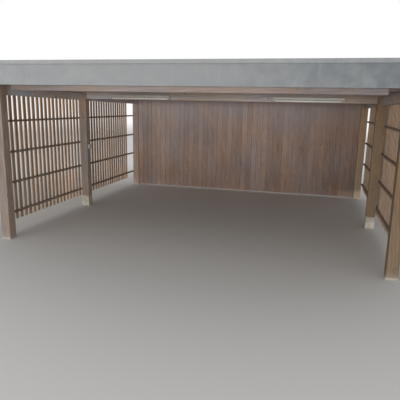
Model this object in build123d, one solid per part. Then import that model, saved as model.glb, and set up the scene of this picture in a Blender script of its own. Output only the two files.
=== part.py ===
from build123d import *
import math
import os

# A double carport. Six posts carry two side beams and a flat roof that falls to the back
# inside a folded metal fascia. Slatted screens close the sides, and boards close the back.
# x runs across, y from the front to the back and z up from the ground, in millimetres.
# The origin is on the ground under the middle of the roof.

# Posts, and the room between them
POST = 150
WIDTH_OVER_POSTS = 5790
DEPTH_OVER_POSTS = 5400
FRONT_BAY = 2520
CLEAR_HEIGHT = 2210
ROOF_FALL = 0.018
ARRIS = 4

# Foot blocks
FRONT_FOOT_HEIGHT = 30
MIDDLE_FOOT_HEIGHT = 215
BACK_FOOT_BELOW_BOARDS = 10
FOOT_MARGIN = 8

# Beams and joists
SIDE_BEAM_WIDTH = 100
SIDE_BEAM_DEPTH = 140
CROSS_BEAM_WIDTH = 80
CROSS_BEAM_DROP = 110
FRONT_BEAM_DROP = 80
FRONT_BEAM_END_GAP = 195
JOIST_WIDTH = 60
JOIST_DEPTH = 180
JOIST_LARGEST_PITCH = 600

# Roof boards and covering
DECK_THICKNESS = 18
COVERING_THICKNESS = 2

# Roof edge
SIDE_OVERHANG = 205
END_OVERHANG = 100
SHEET = 1.5
RIM_THICKNESS = 45
FASCIA_DEPTH = 335
FASCIA_BELOW_JOISTS = 7
FASCIA_RETURN = 30
FASCIA_JOINT_OFFSET = 485
FASCIA_JOINT_GAP = 3
COPING_FACE = 50
COPING_STAND_OFF = 4
COPING_KICK = 8
COPING_INNER_LEG = 40
PACKER_WIDTH = 45
PACKERS_PER_END = 7
PACKER_INSET = 205

# Slatted side screens
RAIL_THICKNESS = 45
RAIL_HEIGHT = 32
LOWEST_RAIL = 350
RAIL_PITCH = 487
RAILS_BELOW_BEAM = 4
TOP_RAIL_ABOVE_BEAM_FOOT = 80
SLAT_WIDTH = 45
SLAT_THICKNESS = 20
SLAT_LARGEST_PITCH = 122
SLAT_FOOT = 210
SLAT_HEAD_GAP = 10
SCREEN_INSET = 85
LEFT_CORNER_GAP = 290

# Back wall
BOARD_THICKNESS = 22
BOARD_FOOT = 25
BOARD_LAP_ON_BEAM = 105
WALL_SETBACK = 25
WALL_RAIL_THICKNESS = 45
WALL_RAIL_HEIGHT = 70

# Lights, conduit and switch
LIGHT_LENGTH = 1230
LIGHT_END_FROM_POST = 540
LIGHT_HEIGHT = 75
LIGHT_ABOVE_BEAM_FOOT = 7
LIGHT_BODY_HEIGHT = 42
LIGHT_BODY_WIDTH = 56
LIGHT_BODY_BEVEL = 8
LAMP_HOLDER_LENGTH = 22
LAMP_HOLDER_WIDTH = 44
TUBE_RADIUS = 13
TUBE_STAND_OUT = 2
CONDUIT_RADIUS = 8
CONDUIT_ABOVE_LIGHT_FOOT = 50
CONDUIT_CLIPS = 4
CLIP_WIDTH = 14
CLIP_WALL = 2
JUNCTION_BOX = 60
JUNCTION_BOX_DEPTH = 35
JUNCTION_BOX_GAP = 130
SWITCH_WIDTH = 70
SWITCH_LENGTH = 90
SWITCH_DEPTH = 32
SWITCH_CENTRE_HEIGHT = 1240
SWITCH_ROCKER = 40
SWITCH_ROCKER_DEPTH = 3
BOX_FILLET = 6

# How far a cutting tool runs past what it cuts
PAST = 50

HALF_WIDTH = WIDTH_OVER_POSTS / 2
HALF_DEPTH = DEPTH_OVER_POSTS / 2
CLEAR_HALF_WIDTH = HALF_WIDTH - POST
HALF_ROOF = HALF_WIDTH + SIDE_OVERHANG
MIDDLE_POST_CENTRE = -HALF_DEPTH + FRONT_BAY + POST / 2

# The roof's own frame starts at the side beams' underside, at the front posts' front face.
# In it x runs across, y down the fall and z square to the roof.
FALL_ANGLE = math.atan(ROOF_FALL)
ROOF_SEAT = Location((0, -HALF_DEPTH, CLEAR_HEIGHT), (-math.degrees(FALL_ANGLE), 0, 0))
ROOF_RUN = DEPTH_OVER_POSTS / math.cos(FALL_ANGLE)
ROOF_FRONT = -END_OVERHANG
ROOF_BACK = ROOF_RUN + END_OVERHANG
ROOF_MIDDLE = (ROOF_FRONT + ROOF_BACK) / 2
RIM_INSET = SHEET + RIM_THICKNESS

# Heights above the side beams' underside, square to the roof
JOIST_FOOT = SIDE_BEAM_DEPTH
CROSS_BEAM_FOOT = JOIST_FOOT - CROSS_BEAM_DROP
FRONT_BEAM_FOOT = JOIST_FOOT - FRONT_BEAM_DROP
JOIST_HEAD = JOIST_FOOT + JOIST_DEPTH
DECK_HEAD = JOIST_HEAD + DECK_THICKNESS
FASCIA_FOOT = JOIST_FOOT - FASCIA_BELOW_JOISTS
COPING_HEAD = FASCIA_FOOT + FASCIA_DEPTH
RIM_HEAD = COPING_HEAD - SHEET


def block(across, along, up):
    """A squared block between a low and a high position on each axis."""
    spans = [high - low for low, high in (across, along, up)]
    middle = [(low + high) / 2 for low, high in (across, along, up)]
    return Pos(*middle) * Box(*spans)


def run_at(depth, height):
    """How far down the fall a point lies, from its y position and its height in the roof."""
    return (depth + HALF_DEPTH - height * math.sin(FALL_ANGLE)) / math.cos(FALL_ANGLE)


def roof_plane(height):
    """The plane that lies a height above the side beams' underside."""
    return Plane(ROOF_SEAT * Location((0, 0, height)))


def below_roof(shape, height):
    """What is left of a shape below a plane of the roof."""
    return split(shape, bisect_by=roof_plane(height), keep=Keep.BOTTOM)


def evenly_spaced(first, last, largest_pitch):
    """Positions from the first to the last, no further apart than the pitch."""
    spaces = math.ceil((last - first) / largest_pitch)
    return [first + (last - first) * n / spaces for n in range(spaces + 1)]


# Posts and their feet
POST_ROWS = {
    "front": (-HALF_DEPTH + POST / 2, FRONT_FOOT_HEIGHT),
    "middle": (MIDDLE_POST_CENTRE, MIDDLE_FOOT_HEIGHT),
    "back": (HALF_DEPTH - POST / 2, BOARD_FOOT - BACK_FOOT_BELOW_BOARDS),
}
SIDES = {"left": -1, "right": 1}


def side_span(side, inner, outer):
    """The low and high x of something on one side, from its distances off the middle."""
    return sorted((side * inner, side * outer))


def post(side, depth, foot_height):
    """A post whose head is halved: the side beam sits on its shoulder, beside a tongue."""
    centre = side * (HALF_WIDTH - POST / 2)
    top = CLEAR_HEIGHT + SIDE_BEAM_DEPTH + PAST
    shaft = Pos(centre, depth, foot_height) * extrude(Rectangle(POST, POST), top - foot_height)
    shaft = chamfer(shaft.edges().filter_by(Axis.Z), ARRIS)
    housing = ROOF_SEAT * block(
        side_span(side, HALF_WIDTH - SIDE_BEAM_WIDTH, HALF_WIDTH + PAST),
        (-PAST, ROOF_RUN + PAST),
        (0, SIDE_BEAM_DEPTH + 2 * PAST),
    )
    return below_roof(shaft - housing, SIDE_BEAM_DEPTH)


def foot_block(side, depth, height):
    """A cast block that narrows from the ground to the post's own size."""
    taper = math.degrees(math.atan(FOOT_MARGIN / height))
    base = POST + 2 * FOOT_MARGIN
    centre = side * (HALF_WIDTH - POST / 2)
    return Pos(centre, depth, 0) * extrude(Rectangle(base, base), height, taper=taper)


# Beams and joists
def side_beam(side):
    """A beam on three posts, with its ends flush with the front and back ones."""
    beam = block(
        side_span(side, HALF_WIDTH - SIDE_BEAM_WIDTH, HALF_WIDTH),
        (0, ROOF_RUN),
        (0, SIDE_BEAM_DEPTH),
    )
    return ROOF_SEAT * chamfer(beam.edges().filter_by(Axis.Y), ARRIS)


def cross_beam(front_face, foot=CROSS_BEAM_FOOT, end_gap=0):
    """A deep beam over a pair of posts, notched so that its lower part fits between them.

    end_gap is how far that lower part stops short of the posts.
    """
    reach = HALF_ROOF - RIM_INSET
    faces = (front_face, front_face + CROSS_BEAM_WIDTH)
    beam = block((-reach, reach), faces, (foot, JOIST_HEAD))
    beam = chamfer(beam.edges().filter_by(Axis.X), ARRIS)
    past_faces = (faces[0] - PAST, faces[1] + PAST)
    for side in SIDES.values():
        notch_span = side_span(side, CLEAR_HALF_WIDTH - end_gap, reach + PAST)
        beam -= block(notch_span, past_faces, (foot - PAST, JOIST_FOOT))
    return ROOF_SEAT * beam


def joists(first, last):
    """The joists of one bay, evenly spaced between the middles of two cross beams."""
    reach = HALF_ROOF - RIM_INSET
    joist = block((-reach, reach), (-JOIST_WIDTH / 2, JOIST_WIDTH / 2), (JOIST_FOOT, JOIST_HEAD))
    runs = evenly_spaced(first, last, JOIST_LARGEST_PITCH)[1:-1]
    return ROOF_SEAT * Compound(children=[Pos(0, run, 0) * joist for run in runs])


WALL_FACE = HALF_DEPTH - POST + WALL_SETBACK
WALL_BACK = WALL_FACE + BOARD_THICKNESS
FRONT_BEAM_RUN = 0
MIDDLE_BEAM_RUN = run_at(MIDDLE_POST_CENTRE - CROSS_BEAM_WIDTH / 2, CROSS_BEAM_FOOT)
BACK_BEAM_RUN = run_at(WALL_BACK, CROSS_BEAM_FOOT)


# Roof boards, covering and edge
def roof_deck():
    """The boards on the joists, out to the rim on all sides."""
    reach = HALF_ROOF - RIM_INSET
    run = (ROOF_FRONT + RIM_INSET, ROOF_BACK - RIM_INSET)
    return ROOF_SEAT * block((-reach, reach), run, (JOIST_HEAD, DECK_HEAD))


def roof_covering():
    """A thin sheet on the boards, turned up against the rim under the coping."""
    reach = HALF_ROOF - RIM_INSET
    run = (ROOF_FRONT + RIM_INSET, ROOF_BACK - RIM_INSET)
    tray = block((-reach, reach), run, (DECK_HEAD, RIM_HEAD))
    inner_reach = reach - COVERING_THICKNESS
    inner_run = (run[0] + COVERING_THICKNESS, run[1] - COVERING_THICKNESS)
    hollow_span = (DECK_HEAD + COVERING_THICKNESS, RIM_HEAD + PAST)
    return ROOF_SEAT * (tray - block((-inner_reach, inner_reach), inner_run, hollow_span))


ROOF_EDGES = {
    "front": (Location((0, ROOF_FRONT, 0), (0, 0, 0)), HALF_ROOF),
    "back": (Location((0, ROOF_BACK, 0), (0, 0, 180)), HALF_ROOF),
    "left": (Location((-HALF_ROOF, ROOF_MIDDLE, 0), (0, 0, -90)), ROOF_BACK - ROOF_MIDDLE),
    "right": (Location((HALF_ROOF, ROOF_MIDDLE, 0), (0, 0, 90)), ROOF_BACK - ROOF_MIDDLE),
}


def rim_board(edge):
    """The board behind the fascia. The end ones run through, and the side ones fit between."""
    place, half_run = ROOF_EDGES[edge]
    inset = RIM_INSET if edge in SIDES else SHEET
    reach = half_run - inset
    board = block((-reach, reach), (SHEET, RIM_INSET), (FASCIA_FOOT + SHEET, RIM_HEAD))
    return ROOF_SEAT * place * board


def rim_packers():
    """Short blocks that hold the end rim boards off the front and back cross beams."""
    last = HALF_ROOF - RIM_INSET - PACKER_INSET
    spans = (
        (ROOF_FRONT + RIM_INSET, FRONT_BEAM_RUN),
        (BACK_BEAM_RUN + CROSS_BEAM_WIDTH, ROOF_BACK - RIM_INSET),
    )
    packers = []
    for run in spans:
        for n in range(PACKERS_PER_END):
            centre = -last + 2 * last * n / (PACKERS_PER_END - 1)
            across = (centre - PACKER_WIDTH / 2, centre + PACKER_WIDTH / 2)
            packers.append(block(across, run, (JOIST_FOOT, JOIST_HEAD)))
    return ROOF_SEAT * Compound(children=packers)


def folded_section(bends):
    """The section of a sheet whose inner side runs through the bends, thickened outward."""
    inner = [Vector(-outward, height) for outward, height in bends]
    folds = [(after - before).normalized() for before, after in zip(inner, inner[1:])]
    outward = [fold.rotate(Axis.Z, 90) for fold in folds]
    outer = []
    for corner, before, after in zip(inner, outward[:1] + outward, outward + outward[-1:]):
        outer.append(corner + (before + after) * (SHEET / (1 + before.dot(after))))
    return make_face(Polyline(*inner, *reversed(outer), close=True))


def folded_strip(bends, edge):
    """A folded sheet along one edge of the roof, mitred to its neighbours at both ends.

    bends are the corners of its inner side, as distances outward and heights.
    """
    place, half_run = ROOF_EDGES[edge]
    strip = extrude(Plane.YZ * folded_section(bends), half_run + PAST, both=True)
    for end in SIDES.values():
        mitre = Plane(origin=(end * half_run, 0, 0), z_dir=(end, 1, 0))
        strip = split(strip, bisect_by=mitre, keep=Keep.BOTTOM)
    return ROOF_SEAT * place * strip


def fascia(edge):
    """The fascia sheet: a flat face with a return under the rim, in two lengths."""
    bends = (
        (-FASCIA_RETURN, FASCIA_FOOT + SHEET),
        (-SHEET, FASCIA_FOOT + SHEET),
        (-SHEET, RIM_HEAD),
    )
    place, half_run = ROOF_EDGES[edge]
    joint = 0 if edge in SIDES else FASCIA_JOINT_OFFSET
    gap = block(
        (joint - FASCIA_JOINT_GAP / 2, joint + FASCIA_JOINT_GAP / 2),
        (-PAST, PAST),
        (FASCIA_FOOT - PAST, COPING_HEAD + PAST),
    )
    return folded_strip(bends, edge) - ROOF_SEAT * place * gap


def coping(edge):
    """The cap on the rim: a kicked-out drip, a face band, a flat top and an inner leg."""
    inner = -RIM_INSET - COVERING_THICKNESS
    face = COPING_STAND_OFF - SHEET
    foot = COPING_HEAD - COPING_FACE
    bends = (
        (face + COPING_KICK, foot - COPING_KICK),
        (face, foot),
        (face, RIM_HEAD),
        (inner, RIM_HEAD),
        (inner, COPING_HEAD - COPING_INNER_LEG),
    )
    return folded_strip(bends, edge)


# Slatted side screens. On the left the slats stop short of the back corner.
SCREEN_FRONT = -HALF_DEPTH + SCREEN_INSET
SCREEN_BACK = HALF_DEPTH - SCREEN_INSET
SLATS_STOP = {
    "left": HALF_DEPTH - POST - LEFT_CORNER_GAP - SLAT_WIDTH / 2,
    "right": SCREEN_BACK,
}
SLAT_CENTRES = evenly_spaced(
    SCREEN_FRONT + SLAT_WIDTH / 2, SCREEN_BACK - SLAT_WIDTH / 2, SLAT_LARGEST_PITCH
)


def screen(name, first, last):
    """One bay of slats on the outer side of rails, fused where they are nailed together."""
    side = SIDES[name]
    rail_span = side_span(side, HALF_WIDTH, HALF_WIDTH + RAIL_THICKNESS)
    slat_face = HALF_WIDTH + RAIL_THICKNESS
    slat_span = side_span(side, slat_face, slat_face + SLAT_THICKNESS)

    top_centre = TOP_RAIL_ABOVE_BEAM_FOOT
    top_height = (top_centre - RAIL_HEIGHT / 2, top_centre + RAIL_HEIGHT / 2)
    top_run = (run_at(first, top_centre), run_at(last, top_centre))
    rails = [ROOF_SEAT * block(rail_span, top_run, top_height)]
    for n in range(RAILS_BELOW_BEAM):
        centre = LOWEST_RAIL + n * RAIL_PITCH
        height = (centre - RAIL_HEIGHT / 2, centre + RAIL_HEIGHT / 2)
        rails.append(block(rail_span, (first, last), height))

    slats = []
    for centre in SLAT_CENTRES:
        if first <= centre < min(last, SLATS_STOP[name]):
            along = (centre - SLAT_WIDTH / 2, centre + SLAT_WIDTH / 2)
            slat = block(slat_span, along, (SLAT_FOOT, CLEAR_HEIGHT + SIDE_BEAM_DEPTH))
            slats.append(below_roof(slat, SIDE_BEAM_DEPTH - SLAT_HEAD_GAP))
    return rails[0].fuse(*rails[1:], *slats)


# Back wall
def back_wall():
    """Upright boards, close together, between the back posts and on the back beam's face."""
    lap_run = run_at(WALL_BACK, CROSS_BEAM_FOOT)
    beam_foot = CLEAR_HEIGHT + CROSS_BEAM_FOOT - lap_run * math.sin(FALL_ANGLE)
    return block(
        (-CLEAR_HALF_WIDTH, CLEAR_HALF_WIDTH),
        (WALL_FACE, WALL_BACK),
        (BOARD_FOOT, beam_foot + BOARD_LAP_ON_BEAM),
    )


def back_wall_rails():
    """The rails behind the boards, level with those of the screens."""
    across = (-CLEAR_HALF_WIDTH, CLEAR_HALF_WIDTH)
    along = (WALL_BACK, WALL_BACK + WALL_RAIL_THICKNESS)
    rails = []
    for n in range(RAILS_BELOW_BEAM):
        centre = LOWEST_RAIL + n * RAIL_PITCH
        height = (centre - WALL_RAIL_HEIGHT / 2, centre + WALL_RAIL_HEIGHT / 2)
        rails.append(block(across, along, height))
    return Compound(children=rails)


# Lights, conduit and switch
LIGHT_FOOT = CROSS_BEAM_FOOT + LIGHT_ABOVE_BEAM_FOOT
LIGHT_HEAD = LIGHT_FOOT + LIGHT_HEIGHT
TUBE_CENTRE = LIGHT_FOOT + TUBE_STAND_OUT + TUBE_RADIUS
LIGHT_CENTRE_RUN = MIDDLE_BEAM_RUN - LIGHT_BODY_WIDTH / 2
LIGHT_OFFSET = CLEAR_HALF_WIDTH - LIGHT_END_FROM_POST - LIGHT_LENGTH / 2


def light_body(side):
    """A batten body with a lamp holder hanging at each end, against the middle beam's face."""
    back = MIDDLE_BEAM_RUN
    front = back - LIGHT_BODY_WIDTH
    low = LIGHT_HEAD - LIGHT_BODY_HEIGHT
    outline = Polyline(
        (back, LIGHT_HEAD),
        (front, LIGHT_HEAD),
        (front, low + LIGHT_BODY_BEVEL),
        (front + LIGHT_BODY_BEVEL, low),
        (back - LIGHT_BODY_BEVEL, low),
        (back, low + LIGHT_BODY_BEVEL),
        close=True,
    )
    body = extrude(Plane.YZ * make_face(outline), LIGHT_LENGTH / 2, both=True)
    round_end = LAMP_HOLDER_WIDTH / 2
    holder = Pos(LIGHT_CENTRE_RUN, LIGHT_FOOT + round_end) * Circle(round_end)
    holder += Pos(LIGHT_CENTRE_RUN, (LIGHT_FOOT + round_end + LIGHT_HEAD) / 2) * Rectangle(
        LAMP_HOLDER_WIDTH, LIGHT_HEAD - LIGHT_FOOT - round_end
    )
    for end in SIDES.values():
        near = end * (LIGHT_LENGTH / 2 - LAMP_HOLDER_LENGTH / 2)
        body += Pos(near, 0, 0) * extrude(Plane.YZ * holder, LAMP_HOLDER_LENGTH / 2, both=True)
    return ROOF_SEAT * Pos(side * LIGHT_OFFSET, 0, 0) * body


def light_tube(side):
    """The lamp between the two holders."""
    length = LIGHT_LENGTH - 2 * LAMP_HOLDER_LENGTH
    section = Plane.YZ * Pos(LIGHT_CENTRE_RUN, TUBE_CENTRE) * Circle(TUBE_RADIUS)
    tube = extrude(section, length / 2, both=True)
    return ROOF_SEAT * Pos(side * LIGHT_OFFSET, 0, 0) * tube


CONDUIT_REACH = LIGHT_OFFSET - LIGHT_LENGTH / 2
CONDUIT_HEIGHT = LIGHT_FOOT + CONDUIT_ABOVE_LIGHT_FOOT
CONDUIT_RUN = MIDDLE_BEAM_RUN - CONDUIT_RADIUS
JUNCTION_BOX_CENTRE = CONDUIT_REACH - JUNCTION_BOX_GAP


def conduit():
    """A straight conduit between the lights, clipped to the beam, with room for its box."""
    place = Plane.YZ * Pos(CONDUIT_RUN, CONDUIT_HEIGHT)
    box_side = JUNCTION_BOX_CENTRE - JUNCTION_BOX / 2
    far_side = JUNCTION_BOX_CENTRE + JUNCTION_BOX / 2
    long_length = extrude(place * Circle(CONDUIT_RADIUS), CONDUIT_REACH + box_side)
    short_length = extrude(place * Circle(CONDUIT_RADIUS), CONDUIT_REACH - far_side)
    strap_radius = CONDUIT_RADIUS + CLIP_WALL
    strap = Circle(strap_radius) & Pos(-CLIP_WALL / 2, 0) * Rectangle(
        2 * strap_radius - CLIP_WALL, 2 * strap_radius
    )
    foot_length = 3 * strap_radius
    strap += Pos(CONDUIT_RADIUS - CLIP_WALL / 2, foot_length / 2) * Rectangle(CLIP_WALL, foot_length)
    strap -= Circle(CONDUIT_RADIUS)
    clip = extrude(place * strap, CLIP_WIDTH / 2, both=True)
    run = Pos(-CONDUIT_REACH, 0, 0) * long_length
    for n in range(CONDUIT_CLIPS):
        share = (n + 0.5) / CONDUIT_CLIPS
        run += Pos(-CONDUIT_REACH + share * (CONDUIT_REACH + box_side), 0, 0) * clip
    return ROOF_SEAT * Compound(children=[run, Pos(far_side, 0, 0) * short_length])


def junction_box():
    """A small square box in the conduit's run."""
    box = block(
        (-JUNCTION_BOX / 2, JUNCTION_BOX / 2),
        (MIDDLE_BEAM_RUN - JUNCTION_BOX_DEPTH, MIDDLE_BEAM_RUN),
        (CONDUIT_HEIGHT - JUNCTION_BOX / 2, CONDUIT_HEIGHT + JUNCTION_BOX / 2),
    )
    box = fillet(box.edges().filter_by(Axis.Y), BOX_FILLET)
    return ROOF_SEAT * Pos(JUNCTION_BOX_CENTRE, 0, 0) * box


def switch_box():
    """A surface-mounted switch on the inner face of the left middle post."""
    case = Box(SWITCH_DEPTH, SWITCH_WIDTH, SWITCH_LENGTH)
    case = fillet(case.edges().filter_by(Axis.X), BOX_FILLET)
    rocker_place = Pos((SWITCH_DEPTH + SWITCH_ROCKER_DEPTH) / 2, 0, 0)
    case += rocker_place * Box(SWITCH_ROCKER_DEPTH, SWITCH_ROCKER, SWITCH_ROCKER)
    face = -CLEAR_HALF_WIDTH
    return Pos(face + SWITCH_DEPTH / 2, MIDDLE_POST_CENTRE, SWITCH_CENTRE_HEIGHT) * case


def carport():
    """Every piece of the carport by name."""
    pieces = {}
    feet = []
    for row, (depth, foot_height) in POST_ROWS.items():
        for name, side in SIDES.items():
            pieces[f"{row}_{name}_post"] = post(side, depth, foot_height)
            feet.append(foot_block(side, depth, foot_height))
    pieces["foot_blocks"] = Compound(children=feet)

    for name, side in SIDES.items():
        pieces[f"{name}_side_beam"] = side_beam(side)
        pieces[f"{name}_front_screen"] = screen(name, SCREEN_FRONT, MIDDLE_POST_CENTRE)
        pieces[f"{name}_back_screen"] = screen(name, MIDDLE_POST_CENTRE, SCREEN_BACK)
        pieces[f"{name}_light_body"] = light_body(side)
        pieces[f"{name}_light_tube"] = light_tube(side)

    beam_runs = {"front": FRONT_BEAM_RUN, "middle": MIDDLE_BEAM_RUN, "back": BACK_BEAM_RUN}
    pieces["front_cross_beam"] = cross_beam(FRONT_BEAM_RUN, FRONT_BEAM_FOOT, FRONT_BEAM_END_GAP)
    pieces["middle_cross_beam"] = cross_beam(MIDDLE_BEAM_RUN)
    pieces["back_cross_beam"] = cross_beam(BACK_BEAM_RUN)
    beam_middles = {row: run + CROSS_BEAM_WIDTH / 2 for row, run in beam_runs.items()}
    pieces["front_joists"] = joists(beam_middles["front"], beam_middles["middle"])
    pieces["back_joists"] = joists(beam_middles["middle"], beam_middles["back"])

    pieces["roof_deck"] = roof_deck()
    pieces["roof_covering"] = roof_covering()
    for edge in ROOF_EDGES:
        pieces[f"{edge}_rim_board"] = rim_board(edge)
        pieces[f"{edge}_fascia"] = fascia(edge)
        pieces[f"{edge}_coping"] = coping(edge)
    pieces["rim_packers"] = rim_packers()

    pieces["back_wall"] = back_wall()
    pieces["back_wall_rails"] = back_wall_rails()
    pieces["conduit"] = conduit()
    pieces["junction_box"] = junction_box()
    pieces["switch_box"] = switch_box()
    return pieces


os.makedirs("parts", exist_ok=True)
for node, shape in carport().items():
    export_step(shape, f"parts/{node}.step")
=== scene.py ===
"""Looks of a double carport: its boards, slats, fixings and finishes on the fixed frame."""

from __future__ import annotations

import logging
import math
import random
from dataclasses import dataclass, field
from enum import Enum
from typing import Callable, Iterable, Sequence

import bmesh
import bpy
from mathutils import Matrix, Vector

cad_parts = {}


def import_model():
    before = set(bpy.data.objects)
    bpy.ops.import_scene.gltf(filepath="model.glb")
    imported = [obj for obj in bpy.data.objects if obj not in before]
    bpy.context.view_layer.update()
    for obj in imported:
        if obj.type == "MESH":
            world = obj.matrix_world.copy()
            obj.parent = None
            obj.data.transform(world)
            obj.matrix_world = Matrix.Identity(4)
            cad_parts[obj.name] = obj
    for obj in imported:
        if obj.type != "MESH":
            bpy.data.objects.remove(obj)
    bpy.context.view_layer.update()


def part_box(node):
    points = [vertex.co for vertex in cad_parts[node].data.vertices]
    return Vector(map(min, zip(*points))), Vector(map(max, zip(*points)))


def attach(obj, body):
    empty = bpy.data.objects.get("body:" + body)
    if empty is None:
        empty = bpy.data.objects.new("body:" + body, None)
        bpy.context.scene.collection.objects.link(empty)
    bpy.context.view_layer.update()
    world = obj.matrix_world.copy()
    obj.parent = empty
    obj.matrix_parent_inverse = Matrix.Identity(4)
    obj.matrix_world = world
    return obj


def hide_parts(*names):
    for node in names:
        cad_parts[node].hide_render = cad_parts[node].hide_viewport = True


log = logging.getLogger("carport")

Color = tuple[float, float, float]
Point = tuple[float, float, float]
Seat = tuple[Vector, Vector]
Piece = bpy.types.Object
Material = bpy.types.Material
NodeTree = bpy.types.NodeTree
Socket = bpy.types.NodeSocket
Inputs = dict[str | int, object]
EdgeTest = Callable[[bmesh.types.BMEdge], bool]
UP = Vector((0.0, 0.0, 1.0))
FRONTWARD = Vector((0.0, -1.0, 0.0))
TONE = "tone"
ROWS = ("front", "middle", "back")
RAIL_HEIGHTS = (0.350, 0.837, 1.324, 1.811)
SEED = 7
DOUBLED = 0.00005  # corners that are nearer than this are merged
TINY = 0.000001  # how far off its line a corner may be
STRAIGHT = 0.999  # how nearly an edge or a facing lies along an axis


class Grain(Enum):
    """The way the grain of a timber runs, as the turn that brings it upright."""

    ACROSS = (0.0, math.pi / 2, 0.0)
    ALONG = (math.pi / 2, 0.0, 0.0)
    UPRIGHT = (0.0, 0.0, 0.0)


class Side(Enum):
    """The two sides of the carport, seen from its open front."""

    LEFT = -1
    RIGHT = 1

    @property
    def word(self) -> str:
        """The side's name in lower case."""
        return self.name.lower()

    @property
    def out(self) -> Vector:
        """The way out of the carport on that side."""
        return Vector((self.value, 0.0, 0.0))


@dataclass(frozen=True)
class RoofFrame:
    """The tilted frame of the roof: x across, y down the fall and z square to the roof.

    Its zero is at the side beams' underside, at the front posts' front face.
    """

    fall: float = 0.018
    front: float = -2.7
    seat: float = 2.21

    @property
    def angle(self) -> float:
        """The tilt of the roof."""
        return math.atan(self.fall)

    @property
    def matrix(self) -> Matrix:
        """Takes a point of the roof's own frame to the carport's frame."""
        return Matrix.Translation((0.0, self.front, self.seat)) @ Matrix.Rotation(-self.angle, 4, "X")

    def height_at(self, depth: float, above: float) -> float:
        """The z at a depth of the roof plane that is so far above the side beams' underside."""
        return self.seat + above - self.fall * (depth - self.front)

    def middle_of(self, node: str) -> Vector:
        """The middle of a node's box, in the roof's own frame."""
        low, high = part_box(node)
        return self.matrix.inverted() @ ((low + high) / 2)

    def seated(self, place: Vector, facing: Vector) -> Seat:
        """Takes a fixing's seat, and the way that it faces, to the carport's frame."""
        return self.matrix @ place, self.matrix.to_3x3() @ facing


ROOF = RoofFrame()


def evenly_spaced(first: float, last: float, largest_pitch: float) -> list[float]:
    """Spreads places evenly from the first to the last, no further apart than the largest pitch."""
    spaces = math.ceil((last - first) / largest_pitch)
    return [first + (last - first) * number / spaces for number in range(spaces + 1)]


# Modelling by operators


def only(piece: Piece) -> None:
    """Makes a piece the only one that is selected, and the active one.

    Args:
        piece: The object to select.
    """
    bpy.ops.object.select_all(action="DESELECT")
    piece.select_set(True)
    bpy.context.view_layer.objects.active = piece


def named(piece: Piece, name: str) -> Piece:
    """Gives a piece and its mesh a name."""
    piece.name = piece.data.name = name
    return piece


def added(
    name: str, add: Callable[..., set[str]], scale: Sequence[float] = (1.0, 1.0, 1.0), **options: object
) -> Piece:
    """Adds a plain shape as the start of a piece, with its place and size in its mesh.

    Args:
        name: The shape's name.
        add: The operator that adds it.
        scale: How much it is stretched on each axis.
        options: The operator's own values.

    Returns:
        The new shape, with its zero at the origin.
    """
    bpy.ops.object.select_all(action="DESELECT")
    add(**options)
    shape = bpy.context.object
    shape.scale = scale
    bpy.ops.object.transform_apply(location=True, rotation=True, scale=True)
    return named(shape, name)


def cuboid(name: str, low: Sequence[float], high: Sequence[float]) -> Piece:
    """Adds a squared block between two corners.

    Args:
        name: The block's name.
        low: Its lowest corner.
        high: Its highest corner.

    Returns:
        The new block.
    """
    middle = [(a + b) / 2 for a, b in zip(low, high)]
    size = [b - a for a, b in zip(low, high)]
    return added(name, bpy.ops.mesh.primitive_cube_add, size, size=1.0, location=middle)


def edit(
    piece: Piece,
    step: Callable[..., set[str]],
    edges: EdgeTest | None = None,
    faces: Callable[[bmesh.types.BMFace], bool] | None = None,
    **options: object,
) -> Piece:
    """Selects edges or faces of a piece in code and runs one operator on them.

    Args:
        piece: The piece to work on.
        step: The operator of edit mode.
        edges: Says which edges it works on.
        faces: Says which faces it works on, where edges isn't given.
        options: The operator's own values.

    Returns:
        The same piece, back in object mode.
    """
    only(piece)
    bpy.ops.object.mode_set(mode="EDIT")
    bpy.ops.mesh.select_mode(type="EDGE" if edges else "FACE")
    bpy.ops.mesh.select_all(action="DESELECT" if edges or faces else "SELECT")
    mesh = bmesh.from_edit_mesh(piece.data)
    for edge in mesh.edges if edges else ():
        edge.select_set(edges(edge))
    for face in mesh.faces if faces and not edges else ():
        face.select_set(faces(face))
    mesh.select_flush_mode()
    bmesh.update_edit_mesh(piece.data)
    step(**options)
    bpy.ops.object.mode_set(mode="OBJECT")
    return piece


def cleaned(piece: Piece) -> Piece:
    """Merges a piece's doubled corners and turns its faces outward."""
    edit(piece, bpy.ops.mesh.remove_doubles, threshold=DOUBLED)
    return edit(piece, bpy.ops.mesh.normals_make_consistent, inside=False)


def runs_along(axis: int) -> EdgeTest:
    """Chooses the edges that run along one axis: 0, 1 or 2 for x, y or z."""
    return lambda edge: abs((edge.verts[1].co - edge.verts[0].co)[axis]) > STRAIGHT * edge.calc_length()


def wholly_above(height: float) -> EdgeTest:
    """Chooses the edges that lie wholly at a height or above it."""
    return lambda edge: all(corner.co.z > height - TINY for corner in edge.verts)


def bevelled(piece: Piece, edges: EdgeTest, width: float, segments: int = 1) -> Piece:
    """Rounds the chosen edges of a piece, or cuts them flat with one segment."""
    return edit(piece, bpy.ops.mesh.bevel, edges=edges, offset=width, segments=segments, affect="EDGES")


def mark_tone(piece: Piece, tone: float) -> None:
    """Marks a piece as lighter or darker than its neighbours, by a tone from -1 to 1."""
    shade = piece.data.attributes.new(TONE, "FLOAT", "POINT").data
    shade.foreach_set("value", [tone] * len(shade))


def placed(master: Piece, place: Matrix, tone: float) -> Piece:
    """Copies a modelled piece, with its own mesh, to a place.

    Args:
        master: The piece that was modelled once.
        place: Where the copy goes.
        tone: How much lighter or darker it is than its neighbours, from -1 to 1.

    Returns:
        The copy.
    """
    copy = master.copy()
    copy.data = master.data.copy()
    bpy.context.scene.collection.objects.link(copy)
    copy.data.transform(place)
    mark_tone(copy, tone)
    return copy


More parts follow.
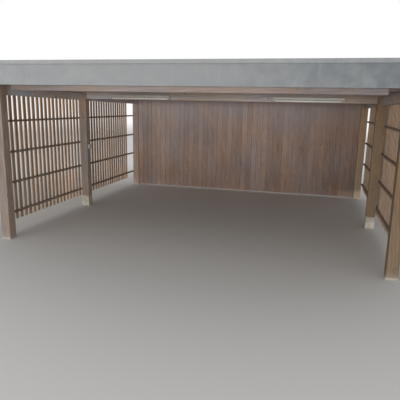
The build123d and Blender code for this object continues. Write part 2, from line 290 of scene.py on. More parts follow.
def joined(
    name: str,
    master: Piece,
    places: Iterable[Matrix],
    tones: Callable[[], float] = lambda: 0.0,
) -> Piece:
    """Joins copies of a modelled piece into one mesh and deletes the first.

    Args:
        name: The joined piece's name.
        master: The piece that was modelled once.
        places: Where the copies go.
        tones: Gives each copy its tone.

    Returns:
        The joined piece.
    """
    copies = [placed(master, place, tones()) for place in places]
    bpy.data.objects.remove(master)
    return merged(name, copies)


def merged(name: str, parts: Sequence[Piece]) -> Piece:
    """Joins objects into one.

    Args:
        name: The name of the whole.
        parts: What is joined.

    Returns:
        The whole.
    """
    only(parts[0])
    for part in parts:
        part.select_set(True)
    bpy.ops.object.join()
    return named(bpy.context.object, name)


def modified(piece: Piece, kind: str, **options: object) -> Piece:
    """Puts a modifier on a piece and applies it.

    Args:
        piece: The piece.
        kind: The modifier's type.
        options: Its values.

    Returns:
        The same piece.
    """
    only(piece)
    modifier = piece.modifiers.new(kind.lower(), kind)
    for option, value in options.items():
        setattr(modifier, option, value)
    bpy.ops.object.modifier_apply(modifier=modifier.name)
    return piece


def warped(piece: Piece, bow: float, wave: float, ways: Sequence[str]) -> Piece:
    """Bends timbers slightly out of true, each in its own way.

    Args:
        piece: Joined timbers, already cut into short lengths.
        bow: How far they leave the straight.
        wave: The length of a bend.
        ways: The axes that they move along.

    Returns:
        The same piece.
    """
    for number, way in enumerate(ways):
        clouds = bpy.data.textures.new(f"{piece.name}_bow_{number}", "CLOUDS")
        clouds.noise_scale = wave * (1.0 + 0.3 * number)
        modified(piece, "DISPLACE", texture=clouds, texture_coords="LOCAL", direction=way, strength=bow)
    return piece


def carve(piece: Piece, cutter: Piece) -> None:
    """Cuts the shape of a cutter out of a piece, and deletes the cutter."""
    modified(piece, "BOOLEAN", object=cutter, operation="DIFFERENCE", solver="EXACT")
    bpy.data.objects.remove(cutter)


def finished_in(piece: Piece, finish: Material) -> None:
    """Gives a piece a finish as its only one."""
    piece.data.materials.clear()
    piece.data.materials.append(finish)


def kept(piece: Piece, finish: Material) -> Piece:
    """Gives a new piece its finish and lets it ride on the carport.

    Args:
        piece: The finished mesh.
        finish: Its material.

    Returns:
        The same piece.
    """
    finished_in(piece, finish)
    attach(piece, "root")
    log.info("%s: %d faces", piece.name, len(piece.data.polygons))
    return piece


def dress(nodes: Iterable[str], finish: Material) -> None:
    """Gives pieces of the fixed frame a finish.

    Args:
        nodes: Their names.
        finish: The material.
    """
    for node in nodes:
        finished_in(bpy.data.objects[node], finish)
        log.info("%s: dressed", node)


# Shader nodes


class Tree:
    """A short way to lay nodes in a material or a node group."""

    def __init__(self, tree: NodeTree) -> None:
        """Keeps the tree that nodes are added to."""
        self.tree = tree

    def feed(self, socket: Socket, value: object) -> None:
        """Links or sets the input of a node.

        Args:
            socket: The input.
            value: A socket, a plain value or a colour.
        """
        if isinstance(value, Socket):
            self.tree.links.new(value, socket)
        else:
            socket.default_value = (*value[:3], 1.0) if socket.type == "RGBA" else value

    def add(self, kind: str, inputs: Inputs | None = None, **settings: object) -> bpy.types.Node:
        """Adds a node, with its settings and what goes into it.

        Args:
            kind: The node's type, without its first word.
            inputs: A value or a socket for each input.
            settings: The node's own properties.

        Returns:
            The node.
        """
        node = self.tree.nodes.new("ShaderNode" + kind)
        for setting, value in settings.items():
            setattr(node, setting, value)
        for key, value in (inputs or {}).items():
            self.feed(node.inputs[key], value)
        return node

    def math(self, operation: str, first: object, second: object = 0.0, clamp: bool = False) -> Socket:
        """Adds a Math node, which may clamp its result from 0 to 1."""
        node = self.add("Math", {0: first, 1: second}, operation=operation, use_clamp=clamp)
        return node.outputs[0]

    def times(self, first: object, second: object) -> Socket:
        """Multiplies two values."""
        return self.math("MULTIPLY", first, second)

    def plus(self, first: object, second: object) -> Socket:
        """Adds two values."""
        return self.math("ADD", first, second)

    def ramp(self, value: object, low: float, high: float, start: float = 0.0, end: float = 1.0) -> Socket:
        """Turns the values from low to high smoothly into those from start to end."""
        stretch = {"Value": value, "From Min": low, "From Max": high, "To Min": start, "To Max": end}
        return self.add("MapRange", stretch, interpolation_type="SMOOTHSTEP").outputs["Result"]

    def mix(self, share: object, first: object, second: object, blend: str = "MIX") -> Socket:
        """Mixes two colours, with so much of the second."""
        colors = {0: share, 6: first, 7: second}
        return self.add("Mix", colors, data_type="RGBA", blend_type=blend).outputs[2]

    def noise(self, vector: object, scale: float, detail: float = 4.0, rough: float = 0.55) -> Socket:
        """Adds a noise with so many waves a metre, finer layers of it, and their strength."""
        inputs = {"Vector": vector, "Scale": scale, "Detail": detail, "Roughness": rough}
        return self.add("TexNoise", inputs).outputs["Fac"]

    def stretched(self, vector: object, scale: Point) -> Socket:
        """Scales the place at which a pattern is read."""
        return self.add("Mapping", {"Vector": vector, "Scale": scale}).outputs["Vector"]

    def part(self, vector: object, axis: int) -> Socket:
        """Takes one axis of a vector."""
        return self.add("SeparateXYZ", {0: vector}).outputs[axis]

    def moved(self, vector: object, *shifts: object) -> Socket:
        """Shifts the place at which a pattern is read, on each axis."""
        offset = self.add("CombineXYZ", dict(enumerate(shifts))).outputs[0]
        return self.add("VectorMath", {0: vector, 1: offset}, operation="ADD").outputs[0]

    def cells(self, vector: object, feature: str = "F1") -> Socket:
        """Gives the distance in a pattern of cells, from their points or from their edges."""
        return self.add("TexVoronoi", {"Vector": vector, "Scale": 1.0}, feature=feature).outputs["Distance"]


class Group(Tree):
    """A node group with named inputs and outputs, built once."""

    def __init__(self, name: str, takes: dict[str, str], gives: dict[str, str]) -> None:
        """Makes the group and its sockets.

        Args:
            name: The group's name.
            takes: The type of each input.
            gives: The type of each output.
        """
        super().__init__(bpy.data.node_groups.new(name, "ShaderNodeTree"))
        for way, sockets in (("INPUT", takes), ("OUTPUT", gives)):
            for socket, kind in sockets.items():
                self.tree.interface.new_socket(socket, in_out=way, socket_type="NodeSocket" + kind)
        self.given = self.tree.nodes.new("NodeGroupInput").outputs
        self.result = self.tree.nodes.new("NodeGroupOutput").inputs

    def give(self, **sockets: Socket) -> NodeTree:
        """Links the group's results.

        Args:
            sockets: What each output gives, with _ for a blank in its name.

        Returns:
            The group's tree.
        """
        for name, socket in sockets.items():
            self.tree.links.new(socket, self.result[name.replace("_", " ")])
        return self.tree


def timber_group() -> NodeTree:
    """Makes the grain of sawn softwood, which runs upright.

    Returns:
        A group that gives colour, roughness and height from a place and a tone.
    """
    group = Group(
        "timber_grain",
        {"Place": "Vector", "Tone": "Float", "Light": "Color", "Dark": "Color", "Spread": "Float"},
        {"Color": "Color", "Roughness": "Float", "Height": "Float"},
    )
    given = group.given
    shift = group.times(given["Tone"], 23.0)
    place = group.moved(given["Place"], shift, shift, shift)
    knot_far = group.cells(group.stretched(place, (5.6, 5.6, 3.3)))
    knot = group.ramp(knot_far, 0.035, 0.075, 1.0, 0.0)
    knot_near = group.ramp(knot_far, 0.03, 0.36, 1.0, 0.0)
    swirl = group.times(knot_near, 0.035)
    flowing = group.moved(place, swirl, swirl)
    long = group.stretched(flowing, (1.0, 1.0, 0.045))
    rings = group.add(
        "TexWave",
        {
            "Vector": group.stretched(flowing, (1.0, 0.8, 0.07)),
            "Scale": 13.0,
            "Distortion": 7.5,
            "Detail": 3.0,
            "Detail Scale": 1.3,
        },
        wave_type="BANDS",
        bands_direction="DIAGONAL",
        wave_profile="SAW",
    ).outputs["Fac"]
    streaks = group.noise(long, 85.0, 6.0, 0.65)
    fibres = group.noise(group.stretched(place, (1.0, 1.0, 0.02)), 520.0, 3.0, 0.7)
    cloud = group.noise(group.stretched(place, (1.0, 1.0, 0.35)), 2.3, 3.0, 0.5)
    figure = group.times(rings, 0.22)
    figure = group.plus(figure, group.times(streaks, 0.66))
    figure = group.plus(figure, group.times(fibres, 0.30))
    figure = group.ramp(figure, 0.30, 0.88)
    wood = group.mix(figure, given["Dark"], given["Light"])
    bright = group.plus(group.times(given["Tone"], given["Spread"]), 1.0)
    bright = group.times(bright, group.ramp(cloud, 0.3, 0.7, 0.90, 1.10))
    grey = group.add("CombineColor", {0: bright, 1: bright, 2: bright}).outputs[0]
    wood = group.mix(1.0, wood, grey, "MULTIPLY")
    hue = group.noise(group.stretched(given["Place"], (1.0, 1.0, 0.6)), 1.5, 3.0, 0.6)
    tint = group.mix(group.ramp(hue, 0.34, 0.66), (0.93, 0.99, 1.07), (1.09, 0.98, 0.86))
    wood = group.mix(1.0, wood, tint, "MULTIPLY")
    wood = group.mix(group.times(knot, 0.62), wood, (0.075, 0.045, 0.028))
    check_edge = group.cells(group.stretched(flowing, (34.0, 34.0, 0.9)), "DISTANCE_TO_EDGE")
    check = group.ramp(check_edge, 0.012, 0.05, 1.0, 0.0)
    check = group.times(check, group.ramp(group.noise(place, 1.7, 2.0), 0.57, 0.68))
    wood = group.mix(group.times(check, 0.45), wood, (0.035, 0.024, 0.018))
    height = group.plus(group.times(streaks, 0.5), group.times(fibres, 0.3))
    height = group.math("SUBTRACT", height, group.times(check, 1.4))
    height = group.plus(height, group.times(knot, 0.3))
    roughness = group.ramp(figure, 0.0, 1.0, 0.86, 0.68)
    return group.give(Color=wood, Roughness=roughness, Height=height)


def dirt_group() -> NodeTree:
    """Makes the splashed dirt near the ground and the dust of the open air.

    Returns:
        A group that gives a colour and a roughness from a clean colour.
    """
    group = Group(
        "splash_and_dust",
        {"Color": "Color", "Roughness": "Float", "Dirt": "Color", "Splash Height": "Float", "Dust": "Float"},
        {"Color": "Color", "Roughness": "Float"},
    )
    given = group.given
    place = group.add("TexCoord").outputs["Object"]
    height = group.part(place, 2)
    ragged = group.times(group.noise(place, 7.0, 4.0, 0.6), given["Splash Height"])
    reach = group.plus(ragged, group.times(given["Splash Height"], 0.5))
    low = group.math("DIVIDE", height, group.math("MAXIMUM", reach, 0.001))
    splash = group.times(group.ramp(low, 0.15, 1.0, 1.0, 0.0), 0.62)
    specks = group.ramp(group.noise(place, 90.0, 3.0, 0.7), 0.42, 0.7)
    splash = group.times(splash, group.plus(group.times(specks, 0.6), 0.4))
    upward = group.part(group.add("NewGeometry").outputs["Normal"], 2)
    lying = group.times(group.ramp(upward, 0.4, 0.9), group.ramp(specks, 0.0, 1.0, 0.55, 1.0))
    film = group.plus(group.ramp(group.noise(place, 3.1, 5.0, 0.6), 0.45, 0.75, 0.0, 0.35), lying)
    dust = group.times(film, given["Dust"])
    cover = group.math("MAXIMUM", splash, dust, clamp=True)
    color = group.mix(cover, given["Color"], given["Dirt"])
    roughness = group.math("ADD", given["Roughness"], group.times(cover, 0.2), clamp=True)
    return group.give(Color=color, Roughness=roughness)


def edge_group() -> NodeTree:
    """Makes the wear that shows along edges.

    Returns:
        A group that gives a mask from an edge width.
    """
    group = Group("edge_wear", {"Width": "Float"}, {"Mask": "Float"})
    rounded = group.add("Bevel", {"Radius": group.given["Width"]}, samples=4)
    flat = group.add("NewGeometry")
    facing = group.add(
        "VectorMath", {0: rounded.outputs[0], 1: flat.outputs["Normal"]}, operation="DOT_PRODUCT"
    ).outputs["Value"]
    edge = group.ramp(facing, 0.90, 0.99, 1.0, 0.0)
    place = group.add("TexCoord").outputs["Object"]
    broken = group.ramp(group.noise(place, 60.0, 4.0, 0.7), 0.40, 0.62)
    return group.give(Mask=group.times(edge, broken))


@dataclass
class Groups:
    """The effects that several finishes share, each built once."""

    timber: NodeTree = field(default_factory=timber_group)
    dirt: NodeTree = field(default_factory=dirt_group)
    edge: NodeTree = field(default_factory=edge_group)


@dataclass(frozen=True)
class Soil:
    """What lies on a surface: the colour of the dirt, how high it splashes, and the dust."""

    color: Color
    splash: float
    dust: float


class Paint(Tree):
    """A material under way, with its Principled shader."""

    def __init__(self, name: str, groups: Groups) -> None:
        """Starts a material.

        Args:
            name: Its name.
            groups: The shared effects.
        """
        self.material = bpy.data.materials.new(name)
        self.material.use_nodes = True
        super().__init__(self.material.node_tree)
        self.groups = groups
        self.shader = self.tree.nodes["Principled BSDF"]
        self.place = self.add("TexCoord").outputs["Object"]

    def effect(self, group: NodeTree, inputs: Inputs) -> bpy.types.NodeOutputs:
        """Places a shared effect in the material."""
        return self.add("Group", inputs, node_tree=group).outputs

    def worn(self, color: Socket, width: float, share: float, wear: Color) -> Socket:
        """Lays wear along the edges.

        Args:
            color: The surface's colour.
            width: How wide the worn edge is.
            share: How much of the wear shows.
            wear: Its colour.

        Returns:
            The worn colour.
        """
        edge = self.effect(self.groups.edge, {"Width": width})["Mask"]
        return self.mix(self.times(edge, share), color, wear)

    def finished(
        self,
        color: Socket,
        roughness: Socket,
        height: Socket,
        depth: float,
        soil: Soil,
        strength: float = 0.6,
        **fixed: float,
    ) -> Material:
        """Soils the surface, links it and its bump, and sets the plain values.

        Args:
            color: The surface's colour.
            roughness: Its roughness.
            height: Its relief.
            depth: How deep the relief is.
            soil: What lies on it.
            strength: How strongly the relief shows.
            fixed: Values of the shader that are the same all over.

        Returns:
            The material.
        """
        lies = {"Dirt": soil.color, "Splash Height": soil.splash, "Dust": soil.dust}
        dirty = self.effect(self.groups.dirt, {"Color": color, "Roughness": roughness, **lies})
        bump = self.add("Bump", {"Strength": strength, "Distance": depth, "Height": height}).outputs[0]
        surface = {"Base_Color": dirty["Color"], "Roughness": dirty["Roughness"], "Normal": bump, **fixed}
        for key, value in surface.items():
            self.feed(self.shader.inputs[key.replace("_", " ")], value)
        return self.material


@dataclass(frozen=True)
class Ageing:
    """A tint laid over a timber along an axis, by its place or by the way that it faces; most of them are
    painted light or shade.
    """

    axis: int
    start: float
    end: float
    tint: Color
    share: float = 1.0
    mirrored: bool = False
    blend: str = "MULTIPLY"
    raggedness: float = 0.8
    by_facing: bool = False

    def over(self, paint: Paint, color: Socket) -> Socket:
        """Lays the tint over a colour.

        Args:
            paint: The material under way.
            color: The timber's colour.

        Returns:
            The tinted colour.
        """
        source = paint.add("NewGeometry").outputs["Normal"] if self.by_facing else paint.place
        place = paint.part(source, self.axis)
        if self.mirrored:
            place = paint.math("ABSOLUTE", place)
        drift = paint.math("SUBTRACT", paint.noise(paint.place, 1.1, 3.0), 0.5)
        place = paint.plus(place, paint.times(drift, self.raggedness))
        share = paint.ramp(place, self.start, self.end, 0.0, self.share)
        return paint.mix(share, color, self.tint, self.blend)


# Painted light: lifts the right posts towards the back, where they stand in the roof's shade.
PAINTED_LIGHT_DEEPER_IN = Ageing(1, -2.2, 2.6, (2.35, 2.65, 3.30), raggedness=0.2)
# Painted light: lifts the left posts towards the back, where they stand in the roof's shade.
PAINTED_LIGHT_BACK = Ageing(1, -1.6, 1.6, (1.30, 1.31, 1.36), raggedness=0.2)
# Painted shade: darkens the faces that look to the front, which the lamps light most.
PAINTED_SHADE_FRONT_FACES = Ageing(1, -0.3, -0.9, (0.80, 0.80, 0.81), raggedness=0.1, by_facing=True)
# Darker towards both ends of the front beam.
DARKER_ENDS = Ageing(0, 0.4, 2.6, (0.66, 0.70, 0.72), mirrored=True)
# Painted shade: darkens the front beam's left end, where the left softbox lights it most.
PAINTED_SHADE_LEFT_END = Ageing(0, -1.2, -3.0, (0.78, 0.79, 0.80))
# Painted light: pales and blues the beams' left ends, standing in for glare from the left.
PAINTED_GLARE_LEFT_END = Ageing(0, -1.0, -2.8, (1.25, 1.38, 1.46))
DARK_FRONT_END = Ageing(1, -2.50, -2.70, (0.56, 0.51, 0.46), raggedness=0.1)
# Darker towards the foot of the wall.
DARKER_FOOT = Ageing(2, 1.3, 0.1, (0.52, 0.47, 0.42), 0.62)
# Painted light: pales the top of the wall, which stands in the shade under the beams.
PAINTED_LIGHT_HEAD = Ageing(2, 1.2, 2.3, (0.46, 0.410, 0.405), 0.45, blend="MIX")
# Painted light: pales the wall towards its left, which the lamps light less.
PAINTED_LIGHT_LEFT = Ageing(0, -0.3, -2.6, (1.07, 1.11, 1.14))


@dataclass(frozen=True)
class TimberFinish:
    """Sawn or planed softwood under a thin stain."""

    name: str
    light: Color
    dark: Color
    worn: Color = (0.42, 0.34, 0.26)
    spread: float = 0.16
    splash: float = 0.0
    dust: float = 0.15
    # Tints along an axis, most of them painted light or shade.
    ageing: tuple[Ageing, ...] = ()
    relief: float = 0.0016

    def make(self, groups: Groups, grain: Grain) -> Material:
        """Makes the material for one run of the grain.

        Args:
            groups: The shared effects.
            grain: Which way the grain runs.

        Returns:
            The material.
        """
        paint = Paint(f"{self.name}_{grain.name.lower()}", groups)
        turned = paint.add("Mapping", {"Vector": paint.place, "Rotation": grain.value}).outputs[0]
        tone = paint.add("Attribute", attribute_name=TONE).outputs["Fac"]
        stain = {"Light": self.light, "Dark": self.dark, "Spread": self.spread}
        wood = paint.effect(groups.timber, {"Place": turned, "Tone": tone, **stain})
        color = paint.worn(wood["Color"], 0.003, 0.5, self.worn)
        for ageing in self.ageing:
            color = ageing.over(paint, color)
        soil = Soil((0.36, 0.33, 0.29), self.splash, self.dust)
        return paint.finished(color, wood["Roughness"], wood["Height"], self.relief, soil)


@dataclass(frozen=True)
class SheetMetalFinish:
    """Folded sheet under a chalking grey paint, paler towards its left end by painted glare."""

    name: str
    pale: Color
    deep: Color
    # The ramp from pale to deep across x is painted light: glare on the left end and a bluish reflection of
    # the sky towards the right, with a little uneven tone of the paint's own.
    fade: tuple[float, float] = (-0.31, 3.193)
    drift: float = 0.7
    roughness: float = 0.42

    def make(self, groups: Groups) -> Material:
        """Makes the material.

        Args:
            groups: The shared effects.

        Returns:
            The material.
        """
        paint = Paint(self.name, groups)
        # Painted glare and reflection: paler towards the left end, deeper and bluer towards the right.
        across = paint.part(paint.place, 0)
        drift = paint.times(paint.noise(paint.place, 0.7, 2.0), self.drift)
        across = paint.plus(across, paint.math("SUBTRACT", drift, self.drift / 2))
        color = paint.mix(paint.ramp(across, *self.fade), self.pale, self.deep)
        runs = paint.noise(paint.stretched(paint.place, (1.0, 1.0, 0.06)), 14.0, 5.0, 0.6)
        color = paint.mix(paint.ramp(runs, 0.52, 0.78, 0.0, 0.12), color, (0.46, 0.46, 0.43))
        chalk = paint.noise(paint.place, 5.0, 5.0, 0.65)
        color = paint.mix(paint.ramp(chalk, 0.35, 0.7, 0.0, 0.10), color, (0.12, 0.14, 0.15))
        color = paint.worn(color, 0.002, 0.55, (0.55, 0.56, 0.56))
        rough = paint.ramp(chalk, 0.3, 0.7, self.roughness - 0.08, self.roughness + 0.12)
        swell = paint.noise(paint.stretched(paint.place, (1.0, 1.0, 0.6)), 1.6, 1.0, 0.4)
        pits = paint.noise(paint.place, 420.0, 2.0)
        height = paint.plus(swell, paint.times(pits, 0.02))
        soil = Soil((0.40, 0.39, 0.35), 0.0, 0.45)
        return paint.finished(color, rough, height, 0.02, soil, 0.35, Specular_IOR_Level=0.45)


@dataclass(frozen=True)
class PlainFinish:
    """Concrete, roof sheet, plastic, enamel or zinc: a base colour that varies a little."""

    name: str
    light: Color
    dark: Color
    rough: tuple[float, float]
    blotch: float = 6.0
    speck: float = 160.0
    relief: float = 0.001
    splash: float = 0.0
    dust: float = 0.3
    wear: Color = (0.6, 0.6, 0.58)
    wear_width: float = 0.002
    metallic: float = 0.0
    coat: float = 0.0

    def make(self, groups: Groups) -> Material:
        """Makes the material.

        Args:
            groups: The shared effects.

        Returns:
            The material.
        """
        paint = Paint(self.name, groups)
        clouds = paint.noise(paint.place, self.blotch, 5.0, 0.6)
        specks = paint.noise(paint.place, self.speck, 3.0, 0.7)
        share = paint.plus(paint.times(clouds, 0.65), paint.times(specks, 0.35))
        color = paint.mix(paint.ramp(share, 0.34, 0.66), self.dark, self.light)
        color = paint.worn(color, self.wear_width, 0.4, self.wear)
        rough = paint.ramp(clouds, 0.3, 0.7, *self.rough)
        height = paint.plus(specks, paint.times(clouds, 0.5))
        soil = Soil((0.36, 0.34, 0.30), self.splash, self.dust)
        return paint.finished(
            color, rough, height, self.relief, soil, 0.5, Metallic=self.metallic, Coat_Weight=self.coat
        )


POST = TimberFinish(
    "post_timber", (0.232, 0.153, 0.083), (0.150, 0.098, 0.053), splash=0.12, ageing=(PAINTED_LIGHT_DEEPER_IN,)
)
# The left posts: the same timber as POST, paler and greyer by painted glare from the left.
PAINTED_GLARE_POST = TimberFinish(
    "painted_glare_post_timber",
    (0.425, 0.332, 0.270),
    (0.263, 0.204, 0.163),
    splash=0.14,
    ageing=(PAINTED_SHADE_FRONT_FACES, PAINTED_LIGHT_BACK),
)
# Beams and joists: paler and greyer than the timber's own colour, as painted light that lifts them in the
# roof's shade.
BEAM = TimberFinish(
    "beam_timber", (0.535, 0.468, 0.445), (0.376, 0.331, 0.312), ageing=(PAINTED_GLARE_LEFT_END, DARK_FRONT_END)
)
FRONT_BEAM = TimberFinish(
    "front_beam_timber", (0.376, 0.297, 0.262), (0.272, 0.219, 0.196), ageing=(DARKER_ENDS, PAINTED_SHADE_LEFT_END)
)
RAIL = TimberFinish("rail_timber", (0.340, 0.262, 0.210), (0.215, 0.165, 0.130))
# Slats: paler than the timber's own colour, as painted light that lifts them where they are seen in shade
# from inside.
SLAT = TimberFinish("slat_timber", (0.600, 0.440, 0.320), (0.400, 0.288, 0.205), splash=0.2)
WALL_BOARD = TimberFinish(
    "wall_timber",
    (0.395, 0.290, 0.246),
    (0.244, 0.177, 0.150),
    spread=0.09,
    splash=0.06,
    ageing=(DARKER_FOOT, PAINTED_LIGHT_HEAD, PAINTED_LIGHT_LEFT),
)
ROOF_BOARD = TimberFinish("roof_timber", (0.480, 0.365, 0.255), (0.300, 0.220, 0.150))
SHEET = SheetMetalFinish("grey_sheet", (0.278, 0.288, 0.294), (0.106, 0.122, 0.134))
# The coping's colours are paler than the fascia's by a painted reflection of the sky, over the same painted
# glare.
CAP = SheetMetalFinish("cap_sheet", (0.320, 0.329, 0.332), (0.226, 0.246, 0.260))
CONCRETE = PlainFinish(
    "cast_concrete", (0.56, 0.50, 0.40), (0.34, 0.31, 0.26), (0.85, 0.95), 14.0, 120.0, 0.003, splash=0.05
)
COVERING = PlainFinish(
    "roof_sheet", (0.10, 0.10, 0.105), (0.065, 0.065, 0.07), (0.6, 0.85), 1.6, 300.0, 0.0006, dust=0.35
)
ENAMEL = PlainFinish(
    "light_enamel", (0.58, 0.57, 0.50), (0.46, 0.455, 0.39), (0.28, 0.42), 9.0, 500.0, 0.0001, coat=0.3
)
OPAL = PlainFinish(
    "opal_lamp", (0.93, 0.92, 0.84), (0.86, 0.85, 0.76), (0.12, 0.2), 7.0, 600.0, 0.00002, coat=0.6
)
PLASTIC = PlainFinish(
    "grey_plastic", (0.54, 0.54, 0.52), (0.44, 0.44, 0.425), (0.42, 0.58), 11.0, 700.0, 0.0001
)
SWITCH = PlainFinish(
    "switch_plastic", (0.52, 0.52, 0.47), (0.42, 0.42, 0.37), (0.25, 0.38), 15.0, 900.0, 0.00005, coat=0.2
)
ZINC = PlainFinish(
    "zinc_plate", (0.55, 0.55, 0.54), (0.30, 0.28, 0.26), (0.35, 0.6), 40.0, 900.0, 0.0002, metallic=0.85
)


@dataclass
class Finishes:
    """The materials of the finishes, each made once."""

    groups: Groups = field(default_factory=Groups)

    def timber(self, finish: TimberFinish, grain: Grain) -> Material:
        """Finds a timber's material, and makes it where it is new."""
        made = bpy.data.materials.get(f"{finish.name}_{grain.name.lower()}")
        return made or finish.make(self.groups, grain)

    def plain(self, finish: PlainFinish | SheetMetalFinish) -> Material:
        """Finds another material, and makes it where it is new."""
        return bpy.data.materials.get(finish.name) or finish.make(self.groups)


# Fixings


@dataclass(frozen=True)
class Head:
    """A round head that stands up from its seat: its sizes, how many sides it has, and its rounding."""

    radius: float
    height: float
    corners: int
    dome: float

    def model(self) -> Piece:
        """Models the head at the origin, facing up.

        Returns:
            The head.
        """
        head = added(
            "head",
            bpy.ops.mesh.primitive_cylinder_add,
            vertices=self.corners,
            radius=self.radius,
            depth=self.height,
            location=UP * self.height / 2,
        )
        return bevelled(head, wholly_above(self.height), self.dome, 2)


@dataclass
class Fixings:
    """Nails, screws and bolts, each modelled once and copied to its places."""

    finishes: Finishes
    nail: Head = Head(0.0032, 0.0012, 8, 0.0006)
    screw: Head = Head(0.0055, 0.0028, 12, 0.0014)
    bolt: Head = Head(0.011, 0.0085, 14, 0.006)
    washer: Head = Head(0.019, 0.0025, 18, 0.0008)
    bolt_seat: float = 0.002
    cross_reach: float = 0.62
    cross_half_width: float = 0.0007
    cross_foot: float = 0.0016
    cross_top: float = 0.004

    def bolt_head(self) -> Piece:
        """Models a domed bolt on its washer.

        Returns:
            The bolt.
        """
        washer = self.washer.model()
        dome = self.bolt.model()
        dome.data.transform(Matrix.Translation(UP * self.bolt_seat))
        return merged("bolt_head", [washer, dome])

    def screw_head(self) -> Piece:
        """Models a pan head with a cross cut into it.

        Returns:
            The screw.
        """
        head = self.screw.model()
        arm = self.screw.radius * self.cross_reach
        narrow = self.cross_half_width
        for x, y in ((arm, narrow), (narrow, arm)):
            carve(head, cuboid("cut", (-x, -y, self.cross_foot), (x, y, self.cross_top)))
        return head

    def set_in(self, name: str, head: Piece, seats: Sequence[Seat], slot: str) -> None:
        """Copies a head to each seat and keeps them as one piece.

        Args:
            name: The piece's name.
            head: The head that was modelled once.
            seats: Where each goes, and the way that it faces.
            slot: The slot of a record for the piece; not used.
        """
        turns = []
        for seat, facing in seats:
            turn = facing.to_track_quat("Z", "Y").to_matrix().to_4x4()
            spin = Matrix.Rotation(random.uniform(0.0, math.pi), 4, "Z")
            turns.append(Matrix.Translation(seat) @ turn @ spin)
        kept(joined(name, head, turns), self.finishes.plain(ZINC))

    def set_screws(self, name: str, seats: Sequence[Seat], slot: str) -> None:
        """Sets a screw in each seat."""
        self.set_in(name, self.screw_head(), seats, slot)


@dataclass
class Assembly:
    """A sub-assembly of the carport, with the finishes and the fixings that it takes."""

    finishes: Finishes
    fixings: Fixings


# The timber frame


@dataclass
class TimberFrame(Assembly):
    """Posts, beams, joists and the boards of the rim, with their bolts.

    Each bolt has its place along the beam, from the post's middle, and above the beam's underside.
    """

    half_width: float = 2.895
    bolts: tuple[tuple[float, float], ...] = ((-0.035, 0.04), (0.035, 0.1))

    def build(self) -> None:
        """Gives each timber of the frame its grain, and bolts the side beams to the posts."""
        woods = (
            (PAINTED_GLARE_POST, Grain.UPRIGHT, [f"{row}_left_post" for row in ROWS]),
            (POST, Grain.UPRIGHT, [f"{row}_right_post" for row in ROWS]),
            (BEAM, Grain.ALONG, ["left_side_beam", "right_side_beam"]),
            (FRONT_BEAM, Grain.ACROSS, ["front_cross_beam"]),
            (BEAM, Grain.ACROSS, ["middle_cross_beam", "back_cross_beam", "front_joists", "back_joists"]),
            (ROOF_BOARD, Grain.ACROSS, ["front_rim_board", "back_rim_board"]),
            (ROOF_BOARD, Grain.ALONG, ["left_rim_board", "right_rim_board", "rim_packers"]),
            (RAIL, Grain.ACROSS, ["back_wall_rails"]),
        )
        for wood, grain, nodes in woods:
            dress(nodes, self.finishes.timber(wood, grain))
        seats = []
        for side in Side:
            for row in ROWS:
                low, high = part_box(f"{row}_{side.word}_post")
                for shift, above in self.bolts:
                    depth = (low.y + high.y) / 2 + shift
                    seat = Vector((side.value * self.half_width, depth, ROOF.height_at(depth, above)))
                    seats.append((seat, side.out))
        self.fixings.set_in("beam_bolts", self.fixings.bolt_head(), seats, "beam_wood")


@dataclass
class FootBlocks(Assembly):
    """The cast blocks under the posts."""

    spread: float = 0.008
    rounding: float = 0.006
    rounding_of_height: float = 0.18
    cuts: int = 3
    relief: float = 0.003
    lumps: float = 0.05

    def build(self) -> None:
        """Casts each block again with worn arrises and a rough face."""
        blocks = [self.block_under(f"{row}_{side.word}_post") for row in ROWS for side in Side]
        feet = warped(merged("concrete_feet", blocks), self.relief, self.lumps, ("X", "Y"))
        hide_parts("foot_blocks")
        kept(feet, self.finishes.plain(CONCRETE))

    def block_under(self, post: str) -> Piece:
        """Models the block under one post.

        Args:
            post: The post's node.

        Returns:
            The block.
        """
        low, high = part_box(post)
        top = low.z
        spread = Vector((self.spread, self.spread, 0.0))
        block = cuboid("block", (*(low - spread).xy, 0.0), (*(high + spread).xy, top))
        share = (high.x - low.x) / (high.x - low.x + 2 * self.spread)
        edit(
            block,
            bpy.ops.transform.resize,
            faces=lambda face: face.normal.z > STRAIGHT,
            value=(share, share, 1.0),
            center_override=(*((low + high) / 2).xy, top),
        )
        bevelled(block, lambda edge: True, min(self.rounding, top * self.rounding_of_height), 2)
        return edit(block, bpy.ops.mesh.subdivide, number_cuts=self.cuts)


# Screens


